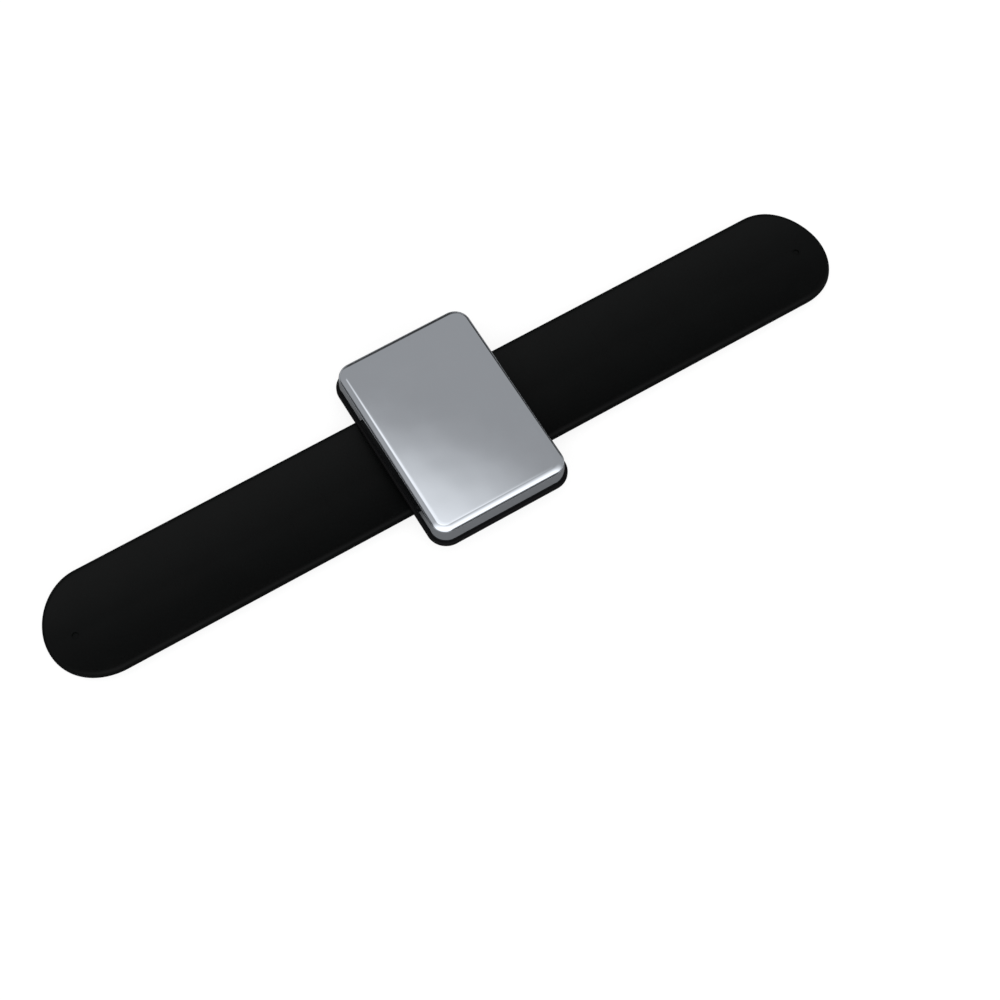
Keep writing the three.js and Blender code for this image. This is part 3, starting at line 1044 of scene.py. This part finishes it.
@dataclass
class Studio:
    """The pale floor, the soft light round it and the camera."""

    paper: BackdropPaper = BackdropPaper()
    floor_size: float = 6.0
    camera_place: tuple[float, float, float] = (-0.117665, -0.221438, 0.49827)
    camera_right: tuple[float, float, float] = (0.85784972, -0.51390063, 0.0)
    camera_up: tuple[float, float, float] = (0.46555484, 0.77714653, 0.42344063)
    camera_clip: tuple[float, float] = (0.01, 20)
    lens: float = 75.93
    sensor: float = 36.0
    # A broad soft light in front and a smaller one overhead, in a plain grey room.
    lights: tuple[SoftLight, ...] = (
        SoftLight(centre=(-0.5, -1.12), half_sizes=(1.0, 1.0), edge=(1.02, 1.62), level=1.2),
        SoftLight(centre=(0.04, 0.30), half_sizes=(0.18, 0.14), edge=(0.85, 1.25), level=0.92),
    )
    room_level: float = 0.42
    # Flags stand in a ring round the band. Only bright surfaces see them: they paint dark
    # reflections on the metal.
    flag: PaintedReflectionFlag = PaintedReflectionFlag()
    flag_distance: float = 0.3
    flag_count: int = 96
    # The heights of the ring's foot and top. Its panels reach down to the floor.
    flag_ring: tuple[float, float] = (0.03, 0.07)
    flag_panels: tuple[FlagPanel, ...] = (
        FlagPanel(24, 0.13, 0.85), FlagPanel(77, 0.19, 0.85),
        FlagPanel(156, 0.21, 0.5), FlagPanel(283, 0.24, 0.85))
    # How far a panel spreads to each side, in degrees.
    flag_spread: float = 24
    # The white backdrop, by the height of the direction to its full white and to its upper edge.
    backdrop: tuple[float, float] = (0.1, 0.25)

    def build(self) -> None:
        """Makes the floor, the flags, the light and the camera."""
        floor = self.lay_floor()
        self.keep_under(floor)
        self.stand_flags(floor)
        self.light_room()
        self.place_camera()

    def lay_floor(self) -> bpy.types.Object:
        """Lays the paper under the band.

        Returns:
            The floor.
        """
        half = self.floor_size / 2
        mesh = bpy.data.meshes.new("floor")
        corners = [(-half, -half, 0), (half, -half, 0), (half, half, 0), (-half, half, 0)]
        mesh.from_pydata(corners, [], [(0, 1, 2, 3)])
        mesh.materials.append(self.paper.build())
        floor = put_in_scene("floor", mesh)
        return floor

    def keep_under(self, floor: bpy.types.Object) -> None:
        """Holds the floor under every length of the strap, so that a curled band stands on it.

        Args:
            floor: The floor, which sinks with the lowest length.
        """
        for joint in frame["joints"]:
            low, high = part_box(f"strap_{joint['child']}")
            for x in (low.x, high.x):
                mark = bpy.data.objects.new(f"floor_mark_{joint['child']}", None)
                mark.location = (x, 0, high.z)
                bpy.context.scene.collection.objects.link(mark)
                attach(mark, joint["child"])
                hold = floor.constraints.new("FLOOR")
                hold.target = mark
                hold.floor_location = "FLOOR_NEGATIVE_Z"

    def stand_flags(self, floor: bpy.types.Object) -> None:
        """Stands the flags, painted dark reflections, in a ring on the floor, where only bright
        surfaces see them.

        Args:
            floor: The floor that carries them.
        """
        points, faces, reflection_shades = [], [], []
        for i in range(self.flag_count):
            angle = 2 * math.pi * i / self.flag_count
            x, y = self.flag_distance * math.cos(angle), self.flag_distance * math.sin(angle)
            for z, dye in self.flag_edges(math.degrees(angle)):
                points.append((x, y, z))
                reflection_shades.append(dye)
            near, far = 2 * i, 2 * ((i + 1) % self.flag_count)
            faces.append((near, near + 1, far + 1, far))
        mesh = bpy.data.meshes.new("flags")
        mesh.from_pydata(points, [], faces)
        mesh.attributes.new(self.flag.dye, "FLOAT", "POINT").data.foreach_set("value", reflection_shades)
        mesh.materials.append(self.flag.build())
        flags = put_in_scene("flags", mesh)
        # Seen by nothing but mirrors, the flags only paint dark reflections.
        flags.visible_camera = flags.visible_diffuse = flags.visible_shadow = False
        flags.parent = floor

    def flag_edges(self, degrees: float) -> list[tuple[float, float]]:
        """Gives the flags' foot and top in one direction.

        Args:
            degrees: The direction, from +X.

        Returns:
            The height and the share of painted dark, for the foot and then for the top.
        """
        (foot, top), foot_shade, top_shade = self.flag_ring, 0.0, 0.0
        for panel in self.flag_panels:
            away = (degrees - panel.direction + 180) % 360 - 180
            share = math.exp(-(away / self.flag_spread) ** 2)
            foot -= self.flag_ring[0] * share
            top += (panel.height - self.flag_ring[1]) * share
            foot_shade += share
            top_shade += share * panel.reflection_shade_left
        return [(max(foot, 0.0), min(foot_shade, 1.0)), (top, min(top_shade, 1.0))]

    def light_room(self) -> None:
        """Makes the world: a plain grey room, the soft lights in it and the white backdrop."""
        world = bpy.data.worlds.new("soft_room")
        bpy.context.scene.world = world
        world.use_nodes = True
        tree = world.node_tree
        tree.nodes.clear()
        towards = add_node(tree, "ShaderNodeTexCoord").outputs["Generated"]
        level: Any = self.room_level
        for light in self.lights:
            (x, y), (half_x, half_y) = light.centre, light.half_sizes
            shares = add_node(tree, "ShaderNodeMapping", {
                "Vector": towards, "Scale": (1 / half_x, 1 / half_y, 0.0),
                "Location": (-x / half_x, -y / half_y, 0.0)})
            share = add_node(tree, "ShaderNodeVectorMath", {0: shares}, operation="LENGTH")
            glow = add_node(tree, "ShaderNodeMapRange", {
                "Value": share.outputs["Value"], "From Min": light.edge[0],
                "From Max": light.edge[1], "To Min": light.level, "To Max": 0.0},
                interpolation_type="SMOOTHSTEP")
            level = add_node(tree, "ShaderNodeMath", {0: level, 1: glow}, operation="ADD")
        # The eye sees a white backdrop in place of the room, and mirror and glass see it low down.
        path = add_node(tree, "ShaderNodeLightPath").outputs
        bounced = add_node(tree, "ShaderNodeMath", {
            0: path["Is Glossy Ray"], 1: path["Is Transmission Ray"]}, operation="MAXIMUM")
        height = add_node(tree, "ShaderNodeSeparateXYZ", {0: towards}).outputs["Z"]
        low = add_node(tree, "ShaderNodeMapRange", {
            "Value": height, "From Min": self.backdrop[0], "From Max": self.backdrop[1],
            "To Min": 1.0, "To Max": 0.0}, interpolation_type="SMOOTHSTEP")
        bounced = add_node(tree, "ShaderNodeMath", {0: bounced, 1: low}, operation="MULTIPLY")
        white = add_node(tree, "ShaderNodeMath", {0: path["Is Camera Ray"], 1: bounced},
                         operation="MAXIMUM")
        seen = add_node(tree, "ShaderNodeMix", {0: white, 2: level, 3: 1.0}, data_type="FLOAT")
        shade = add_node(tree, "ShaderNodeBackground", {"Color": (1, 1, 1, 1), "Strength": seen})
        add_node(tree, "ShaderNodeOutputWorld", {"Surface": shade})

    def place_camera(self) -> None:
        """Puts the camera at the photograph's viewing angle."""
        right, up = Vector(self.camera_right), Vector(self.camera_up)
        back = right.cross(up)
        turn = Matrix((right, up, back)).transposed().to_4x4()
        data = bpy.data.cameras.new("camera")
        data.lens, data.sensor_width = self.lens, self.sensor
        data.clip_start, data.clip_end = self.camera_clip
        camera = bpy.data.objects.new("camera", data)
        camera.matrix_world = Matrix.Translation(self.camera_place) @ turn
        bpy.context.scene.collection.objects.link(camera)
        bpy.context.scene.camera = camera


def main() -> None:
    """Builds the studio, strap, spring, tray and what the tray holds, and reports each piece."""
    logging.basicConfig(level=logging.INFO, format="%(name)s: %(message)s")
    bpy.context.scene.view_settings.view_transform = "Standard"
    Studio().build()
    tree = StripTree()
    tree.build()
    strap = Strip("silicone", "strap", "silicone", MouldedSilicone(), length=235 * MM,
                  width=30.5 * MM, thickness=2.4 * MM, edge_round=1.0 * MM, pin_marks=True)
    spring = Strip("strip", "spring", "spring_steel", SpringSteel(), length=229 * MM,
                   width=24.5 * MM, thickness=0.3 * MM, edge_round=0.0)
    pieces = [*strap.build(tree), *spring.build(tree), Tray().build(), CoverPlate().build(),
              *MagnetStack().dress()]
    for piece in pieces:
        LOG.info("%s: %d faces", piece.name, len(piece.data.polygons))


if __name__ == "__main__":
    main()
